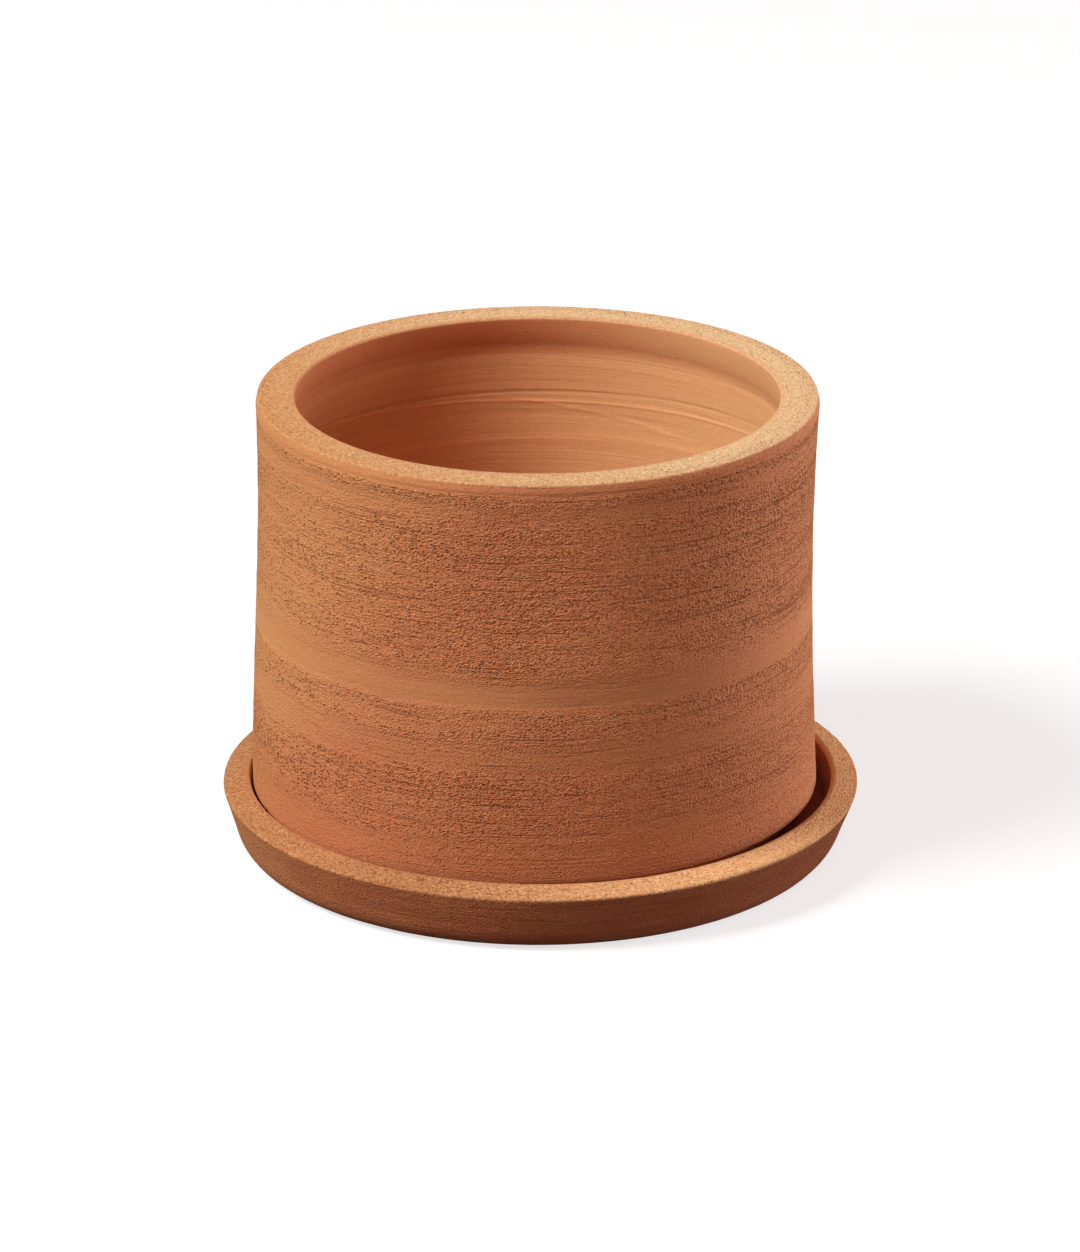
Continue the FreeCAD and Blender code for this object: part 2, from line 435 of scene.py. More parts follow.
def pot_outline(sizes):
    """Cross-section of the pot, from the drain hole under the foot, up the outside and down the inside."""
    outline = Outline()
    step = {name: size * MM for name, size in POT_STEPS.items()}
    rim_radius = sizes.rim_diameter / 2
    edge_radius = rim_radius - sizes.rim_bevel_inset
    bevel_foot = POT_RIM - sizes.rim_bevel_height
    mouth_radius = rim_radius - sizes.rim_wall
    foot_radius = BASE_RADIUS - sizes.bevel_inset
    underside = POT_FOOT + sizes.foot_hollow
    arris_height = POT_FOOT + sizes.bevel_height
    arris = (BASE_RADIUS, arris_height)
    foot_inner = (foot_radius - sizes.foot_ring, POT_FOOT)
    foot_outer = (foot_radius, POT_FOOT)
    hollow_edge = (foot_inner[0], underside)

    def wall_point(share):
        """Point on the outside at a share of the way from the lower edge to the rim."""
        lifted = share ** HOLLOW_LIFT
        hollow = 4 * lifted * (1 - lifted) * sizes.wall_hollow
        radius = BASE_RADIUS + (rim_radius - BASE_RADIUS) * share - hollow
        return radius, arris_height + (bevel_foot - arris_height) * share

    outline.put(along_line((DRAIN_RADIUS, underside), hollow_edge, step["underside"]))
    outline.put(along_line(hollow_edge, foot_inner, step["foot_side"]))
    outline.put(along_line(foot_inner, foot_outer, step["foot"]))
    arris_round = corner_arc(foot_outer, arris, wall_point(ARRIS_SHARE), sizes.arris_round, step["edge"])
    outline.put(along_line(foot_outer, arris_round[0], step["foot_side"]), hand=0.5, rough=0.2)
    outline.put(arris_round, hand=1.0, rough=0.3, edge=0.6)

    band_foot = (rim_radius, bevel_foot)
    rim_outer = (edge_radius, POT_RIM)
    rim_inner = (mouth_radius, POT_RIM)
    rim_round = corner_arc(band_foot, rim_outer, rim_inner, sizes.rim_outer_round, step["edge"])
    wall_rows = round((bevel_foot - arris_height) / step["wall"])
    for row in range(wall_rows):
        point = wall_point(row / wall_rows)
        if arris_round[-1][1] < point[1] - step["edge"]:
            depth = (POT_RIM - point[1]) / MM
            outline.put([point], hand=1.0, rough=between(WALL_ROUGHNESS, depth))
    outline.put(along_line(band_foot, rim_round[0], step["band"]), hand=1.0, rough=0.3)
    outline.put(rim_round, hand=1.0, rough=0.4, edge=0.35, rim=0.8)

    # The outer part of the rim is rough from the cutting wire, and the rest is wiped smoother
    mouth_round = (mouth_radius + sizes.rim_inner_round, POT_RIM - sizes.rim_inner_round)
    cut_end = (rim_radius - sizes.rim_wall * CUT_RIM_SHARE, POT_RIM)
    rim_end = (mouth_round[0], POT_RIM)
    outline.put(along_line(rim_round[-1], cut_end, step["rim"])[1:], hand=0.6, rough=0.65, rim=0.9)
    outline.put(along_line(cut_end, rim_end, step["rim"]), hand=0.6, rough=0.5, rim=1.0)
    mouth_arc = along_arc(mouth_round, sizes.rim_inner_round, 90, 180, step["edge"])
    outline.put(mouth_arc, hand=0.6, rough=0.1, rim=0.6)

    # The lip curves back below its nose and runs into the inner wall in a hollow curve
    drop = sizes.lip_height - sizes.rim_inner_round
    bulge = sizes.lip_overhang * drop / (drop + sizes.lip_cove)
    lip_radius = (bulge ** 2 + drop ** 2) / (2 * bulge)
    lip_sweep = math.degrees(math.asin(drop / lip_radius))
    lip_centre = (mouth_radius + lip_radius, mouth_round[1])
    outline.put(along_arc(lip_centre, lip_radius, 180, 180 + lip_sweep, step["lip"]), hand=0.8, lip=1.0)
    wall_top = (mouth_radius + sizes.lip_overhang, POT_RIM - sizes.lip_height - sizes.lip_cove)
    cove_radius = lip_radius * sizes.lip_cove / drop
    cove_centre = (wall_top[0] - cove_radius, wall_top[1])
    cove_arc = along_arc(cove_centre, cove_radius, lip_sweep, 0, step["cove"])
    outline.put(cove_arc, hand=0.8, inside=0.4, lip=0.6)

    # The inner wall has its closest rows where most of the single finger lines run
    corner = (BASE_RADIUS - sizes.base_wall, POT_FLOOR)
    floor_inner = (DRAIN_RADIUS, POT_FLOOR)
    floor_round = corner_arc(wall_top, corner, floor_inner, sizes.floor_round, step["floor_corner"])
    stops = [wall_top]
    for height in (POT_RIM - FINGER_LINES_TOP, POT_RIM - FINGER_LINES_END, (POT_RIM + POT_FLOOR) / 2):
        share = (wall_top[1] - height) / (wall_top[1] - corner[1])
        stops.append((wall_top[0] + (corner[0] - wall_top[0]) * share, height))
    stops.append(floor_round[0])
    for start, end, size in zip(stops, stops[1:], INNER_WALL_STEPS):
        outline.put(along_line(start, end, size * MM), hand=0.8, inside=1.0)
    outline.put(floor_round, hand=0.6, inside=0.6)

    # The floor and the drain hole
    drain_end = (DRAIN_RADIUS, underside)
    drain_round = corner_arc(floor_round[-1], floor_inner, drain_end, sizes.drain_round, step["edge"])
    outline.put(along_line(floor_round[-1], drain_round[0], step["floor"])[1:], hand=0.3, inside=0.4)
    outline.put(drain_round, hand=0.2)
    outline.put(along_line(drain_round[-1], drain_end, step["drain"])[1:])
    outline.close()
    return outline


def saucer_outline(sizes):
    """Cross-section of the saucer, from the middle of its underside up the outside and back inside."""
    outline = Outline()
    step = {name: size * MM for name, size in SAUCER_STEPS.items()}
    underside = (0.0, 0.0)
    outer = (sizes.diameter / 2, sizes.height - sizes.rim_drop)
    inner = (outer[0] - sizes.rim_width, sizes.height)
    foot = (outer[0] - sizes.flare, 0.0)
    middle = (0.0, POT_FOOT)
    corner = (inner[0] - sizes.wall_lean, POT_FOOT)

    foot_round = corner_arc(underside, foot, outer, sizes.foot_round, step["corner"])
    outer_round = corner_arc(foot, outer, inner, sizes.rim_outer_round, step["edge"])
    inner_round = corner_arc(outer, inner, corner, sizes.rim_inner_round, step["edge"])
    corner_round = corner_arc(inner, corner, middle, sizes.corner_round, step["corner"])
    outline.put(along_line(underside, foot_round[0], step["flat"]))
    outline.put(foot_round, hand=0.5, rough=0.5)
    outline.put(along_line(foot_round[-1], outer_round[0], step["wall"])[1:], hand=1.0, rough=0.75)
    outline.put(outer_round, hand=1.0, rough=0.9, edge=0.6, rim=0.8)
    outline.put(along_line(outer_round[-1], inner_round[0], step["wall"])[1:], hand=0.8, rough=0.75, rim=1.0)
    outline.put(inner_round, hand=0.8, rough=0.3, edge=0.5, rim=0.6)
    outline.put(along_line(inner_round[-1], corner_round[0], step["inner_wall"])[1:], hand=0.6, rough=0.3)
    outline.put(corner_round, hand=0.3)
    outline.put(along_line(corner_round[-1], middle, step["flat"])[1:])
    outline.put([middle])
    return outline


# Inputs of the node tree, the last ones named after the marks that a user may change
MARK_INPUTS = {mark: mark.replace("_", " ").capitalize() for mark in ClaySurface.__annotations__}
TREE_INPUTS = {
    "Outline": "NodeSocketObject", "Rows": "NodeSocketInt", "Columns": "NodeSocketInt",
    "Axis": "NodeSocketVector", "Clay": "NodeSocketMaterial",
    **{name: "NodeSocketFloat" for name in ("Tilt", "Rim height", "Seed", *MARK_INPUTS.values())},
}


def turned_surface(tree, given, position):
    """The outline turned about its axis and closed, with its shares of the finishes stored on it."""
    # A flat grid, one column for each step of the turn and one row for each point of the outline
    columns = add(tree, MATH, {0: given["Columns"], 1: 1.0}, operation="ADD")
    grid = add(tree, "GeometryNodeMeshGrid", {
        "Size X": 1.0, "Size Y": 1.0, "Vertices X": columns, "Vertices Y": given["Rows"]})
    place = add(tree, "ShaderNodeSeparateXYZ", {0: position})
    turn = add(tree, MATH, {0: place.outputs["X"], 1: math.tau}, operation="MULTIPLY")
    last_row = add(tree, MATH, {0: given["Rows"], 1: 1.0}, operation="SUBTRACT")
    share = add(tree, MATH, {0: place.outputs["Y"], 1: 0.5}, operation="ADD")
    row = add(tree, MATH, {0: share, 1: last_row}, operation="MULTIPLY")
    row = add(tree, MATH, {0: row}, operation="ROUND")
    outline = add(tree, "GeometryNodeObjectInfo", {"Object": given["Outline"]}).outputs["Geometry"]

    # Each row takes its shares of the finishes and its sway from the outline
    found = {}
    for name in (*FINISHES, "sway"):
        held = add(tree, "GeometryNodeInputNamedAttribute", {"Name": name})
        found[name] = add(tree, "GeometryNodeSampleIndex", {
            "Geometry": outline, "Value": held.outputs["Attribute"], "Index": row})
    surface = grid.outputs["Mesh"]
    for finish in FINISHES:
        surface = add(tree, "GeometryNodeStoreNamedAttribute", {
            "Geometry": surface, "Name": finish, "Value": found[finish]})

    # The turn about the axis
    point = add(tree, "GeometryNodeSampleIndex", {
        "Geometry": outline, "Value": position, "Index": row}, data_type="FLOAT_VECTOR")
    point = add(tree, "ShaderNodeSeparateXYZ", {0: point})
    radius = point.outputs["X"]
    cosine = add(tree, MATH, {0: turn}, operation="COSINE")
    sine = add(tree, MATH, {0: turn}, operation="SINE")
    across = add(tree, MATH, {0: radius, 1: cosine, 2: found["sway"]}, operation="MULTIPLY_ADD")
    away = add(tree, MATH, {0: radius, 1: sine}, operation="MULTIPLY")
    stretch = add(tree, MATH, {0: away, 1: given["Tilt"], 2: 1.0}, operation="MULTIPLY_ADD")
    up = add(tree, MATH, {0: point.outputs["Z"], 1: stretch}, operation="MULTIPLY")
    turned = add(tree, "ShaderNodeCombineXYZ", {0: across, 1: away, 2: up})
    turned = add(tree, VECTOR_MATH, {0: turned, 1: given["Axis"]}, operation="ADD")
    surface = add(tree, "GeometryNodeSetPosition", {"Geometry": surface, "Position": turned})
    return add(tree, "GeometryNodeMergeByDistance", {"Geometry": surface, "Distance": SAME_PLACE})


def uneven_fields(tree, given, position):
    """Noise on the turned surface, each field stretched to the size of its mark."""
    shapes = {
        "wave": (WAVE_WIDTH, given["Wave spacing"]), "drag": (given["Drag length"], given["Drag spacing"]),
        "grit": (given["Grit size"], given["Grit size"]), "chip": (given["Chip size"], given["Chip size"]),
    }
    fields = {}
    for name, (wide, high) in shapes.items():
        size = add(tree, "ShaderNodeCombineXYZ", {0: wide, 1: wide, 2: high})
        scaled = add(tree, VECTOR_MATH, {0: position, 1: size}, operation="DIVIDE")
        fields[name] = add(tree, "ShaderNodeTexNoise", {
            "Vector": scaled, "W": given["Seed"], "Scale": 1.0, "Detail": 1.0}, noise_dimensions="4D")
    for name, (direction, share) in FINGER_RINGS.items():
        level = add(tree, VECTOR_MATH, {0: position, 1: direction}, operation="DOT_PRODUCT")
        spacing = add(tree, MATH, {0: given["Finger spacing"], 1: share}, operation="MULTIPLY")
        along = add(tree, MATH, {0: level.outputs["Value"], 1: spacing}, operation="DIVIDE")
        fields[name] = add(tree, "ShaderNodeTexNoise", {
            "W": along, "Scale": 1.0, "Detail": 1.0}, noise_dimensions="1D")
    return fields


def finger_lines(tree, given, position, inside):
    """How far the single finger lines stand out of the inner wall, in metres."""
    lines = 0.0
    side = add(tree, "ShaderNodeSeparateXYZ", {0: position}).outputs["X"]
    for drop, stand, half_width, right, back, start in FINGER_LINES:
        direction = (-right, -back, 1.0)
        level = add(tree, VECTOR_MATH, {0: position, 1: direction}, operation="DOT_PRODUCT")
        centre = -drop * MM - back * FINGER_LINES_MEET
        centre = add(tree, MATH, {0: given["Rim height"], 1: centre}, operation="ADD")
        off = add(tree, MATH, {0: level.outputs["Value"], 1: centre}, operation="SUBTRACT")
        off = add(tree, MATH, {0: off}, operation="ABSOLUTE")
        line = add(tree, MAP_RANGE, {0: off, 1: 0.0, 2: half_width * MM, 3: stand * MM, 4: 0.0},
                   interpolation_type="SMOOTHSTEP")
        full = start + FINGER_LINE_FADE
        fade = add(tree, MAP_RANGE, {0: side, 1: start * MM, 2: full * MM, 3: 0.0, 4: 1.0})
        line = add(tree, MATH, {0: line, 1: fade}, operation="MULTIPLY")
        lines = add(tree, MATH, {0: line, 1: inside, 2: lines}, operation="MULTIPLY_ADD")
    return lines


def turning_tree():
    """Node tree that turns an outline about its axis, closes it and presses the maker's marks into it."""
    tree = bpy.data.node_groups.new("turned_clay", "GeometryNodeTree")
    tree.interface.new_socket("Geometry", in_out="OUTPUT", socket_type="NodeSocketGeometry")
    for name, kind in TREE_INPUTS.items():
        tree.interface.new_socket(name, in_out="INPUT", socket_type=kind)
    given = add(tree, "NodeGroupInput").outputs
    position = add(tree, "GeometryNodeInputPosition")
    surface = turned_surface(tree, given, position)
    fields = uneven_fields(tree, given, position)
    shares = {}
    for finish in FINISHES_IN_SHAPE:
        held = add(tree, "GeometryNodeInputNamedAttribute", {"Name": finish})
        shares[finish] = held.outputs["Attribute"]

    total = 0.0
    for finish, field, depth, gain in SURFACE_SWINGS:
        swing = add(tree, MATH, {0: fields[field], 1: NOISE_MEAN}, operation="SUBTRACT")
        for factor in (given[depth], gain):
            swing = add(tree, MATH, {0: swing, 1: factor}, operation="MULTIPLY")
        total = add(tree, MATH, {0: swing, 1: shares[finish], 2: total}, operation="MULTIPLY_ADD")
    for finish, field, start, full, depth in SURFACE_CUTS:
        cut = add(tree, MAP_RANGE, {0: fields[field], 1: start, 2: full, 3: 0.0, 4: 1.0},
                  interpolation_type="SMOOTHSTEP")
        for factor in (given[depth], shares[finish]):
            cut = add(tree, MATH, {0: cut, 1: factor}, operation="MULTIPLY")
        total = add(tree, MATH, {0: total, 1: cut}, operation="SUBTRACT")

    # The single finger lines are stored too, so that the clay paints shade in their grooves and light on
    # their ridges
    lines = finger_lines(tree, given, position, shares["inside"])
    total = add(tree, MATH, {0: total, 1: lines}, operation="ADD")
    in_mm = add(tree, MATH, {0: lines, 1: MM}, operation="DIVIDE")
    surface = add(tree, "GeometryNodeStoreNamedAttribute", {
        "Geometry": surface, "Name": "line", "Value": in_mm})

    normal = add(tree, "GeometryNodeInputNormal").outputs["Normal"]
    offset = add(tree, VECTOR_MATH, {0: normal, "Scale": total}, operation="SCALE")
    surface = add(tree, "GeometryNodeSetPosition", {"Geometry": surface, "Offset": offset})
    surface = add(tree, "GeometryNodeSetShadeSmooth", {"Geometry": surface})
    surface = add(tree, "GeometryNodeRealizeInstances", {"Geometry": surface})
    surface = add(tree, "GeometryNodeSetMaterial", {"Geometry": surface, "Material": given["Clay"]})
    add(tree, "NodeGroupOutput", {0: surface})
    return tree


def turned_piece(name, slot, outline, sway, **values):
    """Turns an outline into a closed mesh, and makes it stand for the frame's node and ride its body."""
    tree = bpy.data.node_groups.get("turned_clay") or turning_tree()
    marks = bpy.context.scene.clay_surface
    profile = outline.as_object(name + "_outline", sway)
    values.update({"Outline": profile, "Rows": len(outline.points), "Rim height": POT_RIM})
    for mark, label in MARK_INPUTS.items():
        values[label] = getattr(marks, mark)
    piece = bpy.data.objects.new(name + "_thrown", bpy.data.meshes.new(name + "_thrown"))
    bpy.context.scene.collection.objects.link(piece)
    modifier = piece.modifiers.new("turned_clay", "NODES")
    modifier.node_group = tree
    for item in tree.interface.items_tree:
        if item.in_out == "INPUT":
            modifier[item.identifier] = values[item.name]
    graph = bpy.context.evaluated_depsgraph_get()
    mesh = bpy.data.meshes.new_from_object(
        piece.evaluated_get(graph), preserve_all_data_layers=True, depsgraph=graph)
    piece.modifiers.clear()
    piece.data = mesh
    bpy.data.objects.remove(profile)
    if not mesh.polygons:
        raise RuntimeError("the outline of " + name + " gave no surface")
    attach(piece, name)
    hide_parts(name)


def clay_fields(tree, axis, kind):
    """All that the clay's colour and relief follow, by name: finishes, ways, patterns and tool marks."""
    fields = {}
    for finish in FINISHES_IN_CLAY:
        fields[finish] = add(tree, "ShaderNodeAttribute", attribute_name=finish).outputs["Fac"]

    # Place on the turned surface: across, away, and the way along the outline from the axis and up
    place = add(tree, "ShaderNodeTexCoord").outputs["Object"]
    place = add(tree, VECTOR_MATH, {0: place, 1: axis}, operation="SUBTRACT")
    parts = add(tree, "ShaderNodeSeparateXYZ", {0: place}).outputs
    flat = add(tree, VECTOR_MATH, {0: place, 1: (1.0, 1.0, 0.0)}, operation="MULTIPLY")
    radius = add(tree, VECTOR_MATH, {0: flat}, operation="LENGTH").outputs["Value"]
    run = add(tree, MATH, {0: radius, 1: parts["Z"]}, operation="ADD")
    place = add(tree, "ShaderNodeCombineXYZ", {0: parts["X"], 1: parts["Y"], 2: run})
    fields["height"] = parts["Z"]
    for way, direction in (*WAYS.items(), ("rim_way", kind["rim_way"])):
        reach = add(tree, VECTOR_MATH, {0: place, 1: direction}, operation="DOT_PRODUCT")
        fields[way] = reach.outputs["Value"]

    def stretched(wide, high):
        """The place, in steps as wide and high as a mark in mm."""
        scale = (1 / (wide * MM), 1 / (wide * MM), 1 / (high * MM))
        return add(tree, VECTOR_MATH, {0: place, 1: scale}, operation="MULTIPLY")

    for pattern, (wide, high, octaves) in PATTERNS.items():
        noise = add(tree, "ShaderNodeTexNoise", {
            "Vector": stretched(wide, high), "Scale": 1.0, "Detail": octaves,
            "Roughness": PATTERN_ROUGHNESS})
        fields[pattern] = noise.outputs["Fac"]
    cells = stretched(PIT_WIDTH, PIT_HEIGHT)
    pits = add(tree, "ShaderNodeTexVoronoi", {"Vector": cells, "Scale": 1.0}).outputs
    fields["distance"] = pits["Distance"]
    fields["chance"] = add(tree, "ShaderNodeSeparateXYZ", {0: pits["Color"]}).outputs["X"]

    # Shares that follow a field: where in it the change starts and ends, and the share before and after
    changes = {
        "torn_rows": ("torn", 0.35, 0.65, 0.75 * kind["tear"], 1.1 * kind["tear"]),
        "torn_side": ("off_left_top", -0.22, -0.12, 0.75, 1.05),
        "even_side": ("right", 0.02, 0.09, 0.0, kind["even_right"]),
        "scratches": ("scratch", 0.63, 0.73, 0.0, 1.0),
        "scratch_side": ("right", -0.1, -0.02, 0.3, 1.0),
        # painted shade in the pits, weaker low on the right and stronger low on the left
        "pit_painted_shade_right": ("low_right", -0.09, -0.03, 1.0, 0.55),
        "pit_painted_shade_left": ("low_left", -0.03, 0.015, 0.68, 0.95),
        "scuffs": ("scuff", 0.6, 0.76, 0.0, 1.0),
        # painted light: the inside's pale slip grows towards the right
        "inside_painted_light_side": ("right", -0.09, 0.05, 0.1, 1.0),
        # painted light: the lip grows paler towards the right
        "lip_painted_light_side": ("right", -0.02, 0.07, 0.0, 1.0),
        # painted light: share of the rim's paler right colour along the rim
        "rim_painted_light_side": ("rim_way", kind["rim_start"], kind["rim_end"], 0.0, 1.0),
        "grain_side": ("rim_painted_light_side", 0.0, 1.0, 1.0, 0.65),
    }
    for name, (field, start, end, before, after) in changes.items():
        fields[name] = add(tree, MAP_RANGE, {
            0: fields[field], 1: start, 2: end, 3: before, 4: after})

    # Steps in order: the result, the operation and its two inputs, as names of fields or plain numbers
    steps = (
        ("wall", "SUBTRACT", 1.0, "rim"),
        ("even", "MULTIPLY", "even_side", "wall"),
        ("uneven", "SUBTRACT", 1.0, "even"),
        ("ragged", "POWER", "rough", "uneven"),
        ("torn_share", "MULTIPLY", "torn_rows", "torn_side"),
        ("tear", "MULTIPLY", "ragged", "torn_share"),
        ("row", "SUBTRACT", "drag", NOISE_MEAN),
        ("torn_row", "ADD", "row", "tear"),
        ("pit_chance", "SUBTRACT", "torn_row", "chance"),
        ("pit_radius", "MINIMUM", "pit_chance", PIT_LARGEST),
        ("pit_level", "SUBTRACT", "pit_radius", "distance"),
        ("rough_scratches", "MULTIPLY", "scratches", "rough"),
        ("side_scratches", "MULTIPLY", "rough_scratches", "scratch_side"),
        ("scratched", "MULTIPLY", "side_scratches", "wall"),
        ("scuffed", "MULTIPLY", "scuffs", "ragged"),
        ("slip_and_painted_light", "MULTIPLY", "inside", "inside_painted_light_side"),
        ("grain_share", "MULTIPLY", "rim", "grain_side"),
        ("lip_painted_light", "MULTIPLY", "lip", "lip_painted_light_side"),
    )
    for name, operation, first, second in steps:
        fields[name] = add(tree, MATH, {
            0: fields.get(first, first), 1: fields.get(second, second)}, operation=operation)

    # Pits slope down from their edges; their darkness is partly painted shade, weaker low on the right and
    # stronger low on the left
    pit = add(tree, MAP_RANGE, {0: fields["pit_level"], 1: 0.0, 2: PIT_EDGE, 3: 0.0, 4: 1.0},
              interpolation_type="SMOOTHSTEP")
    fields["pit"] = pit
    for shade in ("pit_painted_shade_right", "pit_painted_shade_left"):
        pit = add(tree, MATH, {0: pit, 1: fields[shade]}, operation="MULTIPLY")
    fields["pit_dark_and_painted_shade"] = pit
    return fields


def make_clay(name, axis, kind):
    """Terracotta, thrown, scraped with a rib and fired without glaze.

    To the eye it is dry and matt, with grit torn out in rows by the tool, darker in the pits, partly by
    painted shade, and paler on the cut rims; painted light and shade by side and low down tint it too.
    """
    colours = bpy.context.scene.clay_colours
    body, right, rim_left, rim_right = [getattr(colours, part) for part in kind["colours"]]
    material = bpy.data.materials.new(name)
    material.cycles.use_bump_map_correction = False
    material.use_nodes = True
    tree = material.node_tree
    tree.nodes.clear()
    fields = clay_fields(tree, axis, kind)
    # The rim's colour is darker on the left and paler on the right: painted light on the right
    rim = add(tree, "ShaderNodeMix", {
        "Factor_Float": fields["rim_painted_light_side"], "A_Color": rim_left, "B_Color": rim_right}, data_type="RGBA")

    # Colours laid on in order: the field, where in it the colour starts and is full, how much, and which
    mixes = (
        ("patch", 0.42, 0.68, 0.3, colours.pale),
        ("blush", 0.48, 0.72, 0.35, colours.red),
        # painted shade: redder and darker towards the bottom of the pot, near the saucer; the low saucer
        # takes it all over
        ("height", 0.1, 0.04, 0.35, colours.red),
        ("tear", 0.1, 1.0, 0.7, colours.torn),
        # painted light: paler at the upper left
        ("painted_light_left_top", 0.16, 0.21, kind["painted_light_left"], colours.pale),
        # painted light on the pot's right and painted shade on the saucer's right
        ("right", 0.04, 0.11, kind["painted_light_and_shade_right"], right),
        # painted shade: darker low at the front
        ("painted_shade_low_front", -0.02, 0.02, 0.15, colours.pit),
        # painted shade under the rim in the redder lip, and painted light on the lip's right
        ("lip", 0.0, 1.0, 0.6, colours.red),
        ("lip_painted_light", 0.0, 1.0, 0.85, colours.inside),
        # the inside is redder, with pale slip growing to the right: painted light on the inside's right
        ("inside", 0.0, 1.0, 0.3, colours.red),
        ("slip_and_painted_light", 0.0, 1.0, 0.87, colours.inside),
        ("rim", 0.0, 1.0, 1.0, rim),
        ("scratched", 0.0, 1.0, 0.4, colours.pit),
        # dark pits: darker clay in the pits and painted shade
        ("pit_dark_and_painted_shade", 0.0, 1.0, 0.8, colours.pit),
        ("speck", 0.66, 0.76, 0.1, colours.grog),
        ("scuffed", 0.0, 1.0, 0.3, colours.pale),
    )
    shade = body
    for field, start, full, amount, clay_colour in mixes:
        share = add(tree, MAP_RANGE, {0: fields[field], 1: start, 2: full, 3: 0.0, 4: amount})
        shade = add(tree, "ShaderNodeMix", {
            "Factor_Float": share, "A_Color": shade, "B_Color": clay_colour}, data_type="RGBA")

    for field, share, least, most in CLAY_SWINGS:
        gain = add(tree, MAP_RANGE, {0: fields[share], 1: 0.0, 2: 1.0, 3: least, 4: most})
        swing = add(tree, MATH, {0: fields[field], 1: NOISE_MEAN}, operation="SUBTRACT")
        swing = add(tree, MATH, {0: swing, 1: gain}, operation="MULTIPLY")
        factor = add(tree, VECTOR_MATH, {
            0: swing, 1: SWING_TINT, 2: (1.0, 1.0, 1.0)}, operation="MULTIPLY_ADD")
        shade = add(tree, VECTOR_MATH, {0: shade, 1: factor}, operation="MULTIPLY")
    line = add(tree, "ShaderNodeAttribute", attribute_name="line").outputs["Fac"]
    line = add(tree, MATH, {0: line, 1: LINE_PAINTED_LIGHT_AND_SHADE, 2: 1.0}, operation="MULTIPLY_ADD")
    shade = add(tree, VECTOR_MATH, {0: shade, "Scale": line}, operation="SCALE")

    height = 0.0
    for field, share, least, most in CLAY_RELIEFS:
        depth = add(tree, MAP_RANGE, {
            0: fields[share], 1: 0.0, 2: 1.0, 3: least * MM, 4: most * MM}, clamp=False)
        height = add(tree, MATH, {0: fields[field], 1: depth, 2: height}, operation="MULTIPLY_ADD")
    bump = add(tree, "ShaderNodeBump", {"Strength": 1.0, "Distance": 1.0, "Height": height})
    shader = add(tree, "ShaderNodeBsdfPrincipled", {
        "Base Color": shade, "Roughness": 0.9, "Diffuse Roughness": 0.2, "Specular IOR Level": 0.2,
        "IOR": 1.5, "Normal": bump})
    add(tree, "ShaderNodeOutputMaterial", {"Surface": shader})
    return material


class POTTERY_OT_make_pot(bpy.types.Operator):
    """Throw the pot: thick wall, rolled lip, foot ring and drain hole"""
    bl_idname = "pottery.make_pot"
    bl_label = "Pot"

    def execute(self, context):
        sizes = context.scene.pot_sizes

        def sway(height):
            """The wall bows to the left low down and leans to the right at the rim."""
            share = (height - POT_FOOT) / (POT_RIM - POT_FOOT)
            return sizes.lean * share ** 2 - sizes.bow * BOW_GAIN * share * (1 - share) ** 2

        clay = make_clay("terracotta_scraped", POT_AXIS, POT_CLAY)
        tilt = sizes.rim_tilt / sizes.rim_diameter / POT_RIM
        turned_piece("pot", "pot_clay", pot_outline(sizes), sway,
                     Columns=POT_COLUMNS, Axis=POT_AXIS, Tilt=tilt, Seed=POT_SEED, Clay=clay)
        return {"FINISHED"}


class POTTERY_OT_make_saucer(bpy.types.Operator):
    """Throw the saucer that the pot stands in"""
    bl_idname = "pottery.make_saucer"
    bl_label = "Saucer"

    def execute(self, context):
        sizes = context.scene.saucer_sizes

        def sway(height):
            """The rim stands a little to the right of the foot."""
            return sizes.lean * (height / sizes.height - 0.5)

        clay = make_clay("terracotta_smoothed", SAUCER_AXIS, SAUCER_CLAY)
        turned_piece("saucer", "saucer_clay", saucer_outline(sizes), sway,
                     Columns=SAUCER_COLUMNS, Axis=SAUCER_AXIS, Tilt=0.0, Seed=SAUCER_SEED, Clay=clay)
        return {"FINISHED"}


def soft_light(name, watts, tint, width, around, up):
    """A square soft light, placed round the pot from the front and up by angles in degrees."""
    around = math.radians(around)
    up = math.radians(up)
    toward = Vector((math.sin(around) * math.cos(up), -math.cos(around) * math.cos(up), math.sin(up)))
    lamp = bpy.data.lights.new(name, "AREA")
    lamp.energy = watts
    lamp.color = linear(tint)[:3]
    lamp.size = width
    light = bpy.data.objects.new(name, lamp)
    light.location = LAMP_TARGET + toward * bpy.context.scene.stage_settings.light_distance
    light.rotation_euler = (-toward).to_track_quat("-Z", "Y").to_euler()
    bpy.context.scene.collection.objects.link(light)


def seen_directly(tree):
    """Is 1 for rays from the camera, also by way of a mirror or glass, and 0 for light thrown back."""
    path = add(tree, "ShaderNodeLightPath").outputs
    seen = add(tree, MATH, {0: path["Is Camera Ray"], 1: path["Is Glossy Ray"]}, operation="MAXIMUM")
    return add(tree, MATH, {0: seen, 1: path["Is Transmission Ray"]}, operation="MAXIMUM")


def make_floor_paper():
    """Matt paper: white to the camera, with a light shadow on it, and dark for the light it throws back."""
    material = bpy.data.materials.new("studio_paper")
    material.use_nodes = True
    tree = material.node_tree
    tree.nodes.clear()
    paper = add(tree, "ShaderNodeBsdfDiffuse", {"Color": linear("#AAAAAA")})
    glow = add(tree, "ShaderNodeEmission", {"Color": linear("#FFFFFF"), "Strength": PAPER_GLOW})
    white = add(tree, "ShaderNodeAddShader", {0: paper, 1: glow})
    grey = add(tree, "ShaderNodeBsdfDiffuse", {"Color": linear("#545454")})
    shader = add(tree, "ShaderNodeMixShader", {0: seen_directly(tree), 1: grey, 2: white})
    add(tree, "ShaderNodeOutputMaterial", {"Surface": shader})
    return material


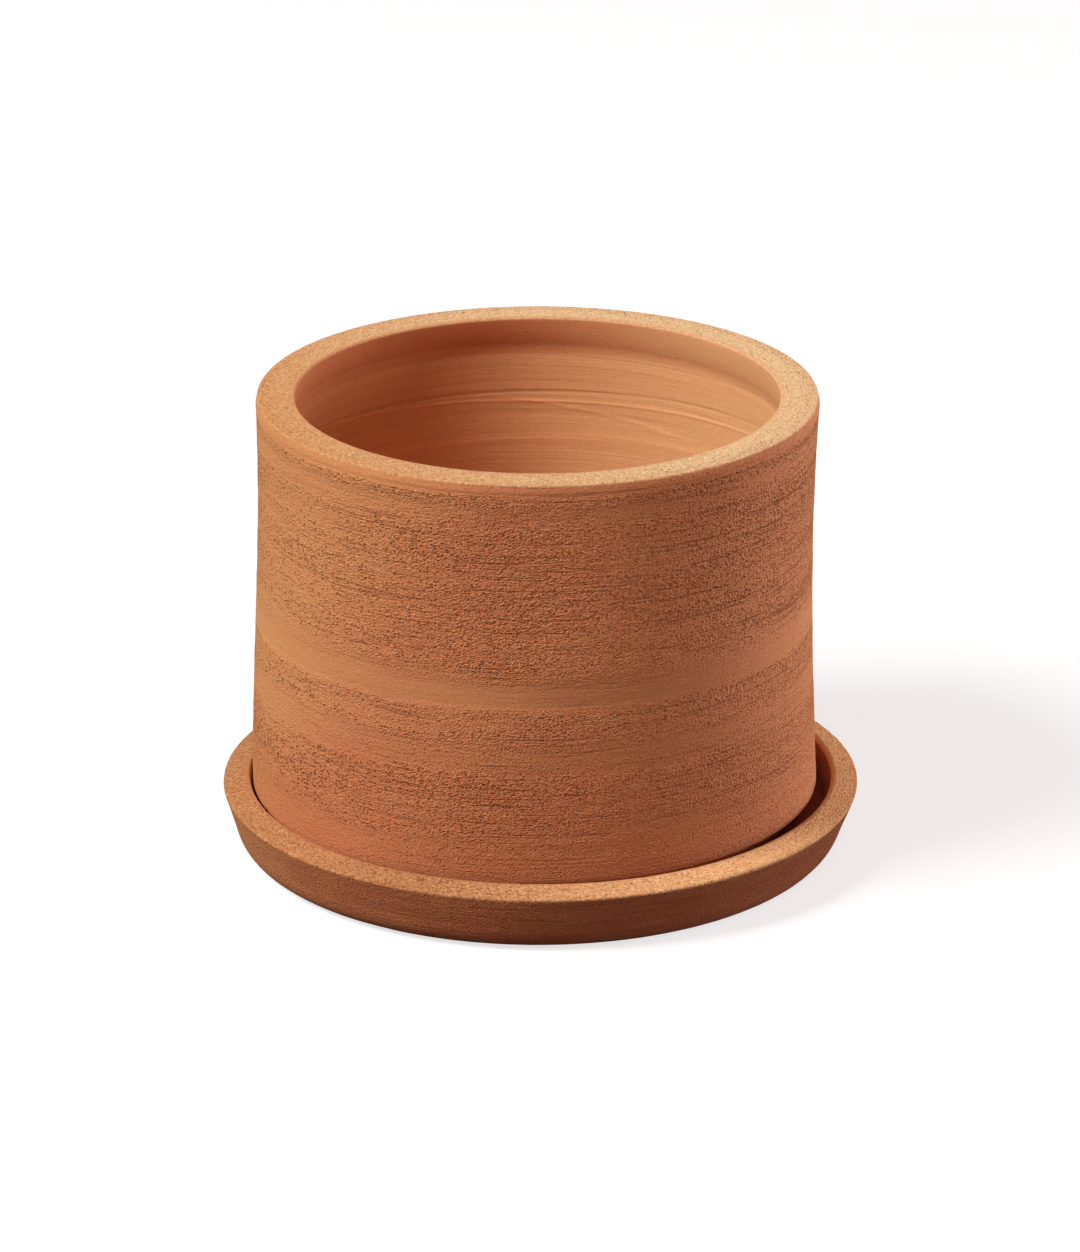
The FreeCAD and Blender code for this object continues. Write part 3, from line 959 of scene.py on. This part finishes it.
class POTTERY_OT_set_stage(bpy.types.Operator):
    """Lay the floor, set the soft lights and place the camera"""
    bl_idname = "pottery.set_stage"
    bl_label = "Stage"

    def execute(self, context):
        scene = context.scene
        settings = scene.stage_settings
        mesh = bpy.data.meshes.new("floor")
        ends = ((-1, -1), (1, -1), (1, 1), (-1, 1))
        mesh.from_pydata([(x * FLOOR_REACH, y * FLOOR_REACH, 0.0) for x, y in ends], [], [(0, 1, 2, 3)])
        mesh.materials.append(make_floor_paper())
        floor = bpy.data.objects.new("floor", mesh)
        scene.collection.objects.link(floor)

        for name, (tint, width, around, up) in LAMPS.items():
            soft_light(name, getattr(settings, name + "_power"), tint, width, around, up)

        world = bpy.data.worlds.new("studio")
        world.use_nodes = True
        tree = world.node_tree
        tree.nodes.clear()
        strength = add(tree, MAP_RANGE, {
            0: seen_directly(tree), 1: 0.0, 2: 1.0, 3: settings.sky, 4: 1.0})
        sky = add(tree, "ShaderNodeBackground", {"Color": linear("#FFFFFF"), "Strength": strength})
        add(tree, "ShaderNodeOutputWorld", {"Surface": sky})
        scene.world = world

        lens = bpy.data.cameras.new("camera")
        lens.sensor_width = 36.0
        lens.lens = settings.focal_pixels / settings.picture_height * lens.sensor_width
        camera = bpy.data.objects.new("camera", lens)
        look_at = Vector((settings.target_right, 0.0, settings.target_height))
        back = Vector((0.0, -math.cos(settings.camera_elevation), math.sin(settings.camera_elevation)))
        camera.location = look_at + back * settings.camera_distance
        camera.rotation_euler = (-back).to_track_quat("-Z", "Y").to_euler()
        scene.collection.objects.link(camera)
        scene.camera = camera
        scene.view_settings.view_transform = "Standard"
        return {"FINISHED"}


class POTTERY_PT_panel(bpy.types.Panel):
    """Sizes, colours and pieces of the pot"""
    bl_label = "Thrown pot"
    bl_space_type = "VIEW_3D"
    bl_region_type = "UI"
    bl_category = "Pottery"

    def draw(self, context):
        for operator in OPERATORS:
            self.layout.operator(operator.bl_idname)
        for name, group in GROUPS.items():
            box = self.layout.box()
            for prop in group.__annotations__:
                box.prop(getattr(context.scene, name), prop)


OPERATORS = (POTTERY_OT_make_saucer, POTTERY_OT_make_pot, POTTERY_OT_set_stage)
GROUPS = {
    "pot_sizes": PotSizes,
    "saucer_sizes": SaucerSizes,
    "clay_surface": ClaySurface,
    "clay_colours": ClayColours,
    "stage_settings": StageSettings,
}
CLASSES = (*GROUPS.values(), *OPERATORS, POTTERY_PT_panel)


def register():
    """Registers the classes and hangs the settings on the scene."""
    for cls in CLASSES:
        bpy.utils.register_class(cls)
    for name, group in GROUPS.items():
        setattr(bpy.types.Scene, name, bpy.props.PointerProperty(type=group))


def unregister():
    """Takes the settings off the scene and the classes out again."""
    for name in GROUPS:
        delattr(bpy.types.Scene, name)
    for cls in reversed(CLASSES):
        bpy.utils.unregister_class(cls)


def main():
    """Makes the pieces and the stage."""
    register()
    bpy.ops.pottery.make_saucer()
    bpy.ops.pottery.make_pot()
    bpy.ops.pottery.set_stage()


if __name__ == "__main__":
    main()
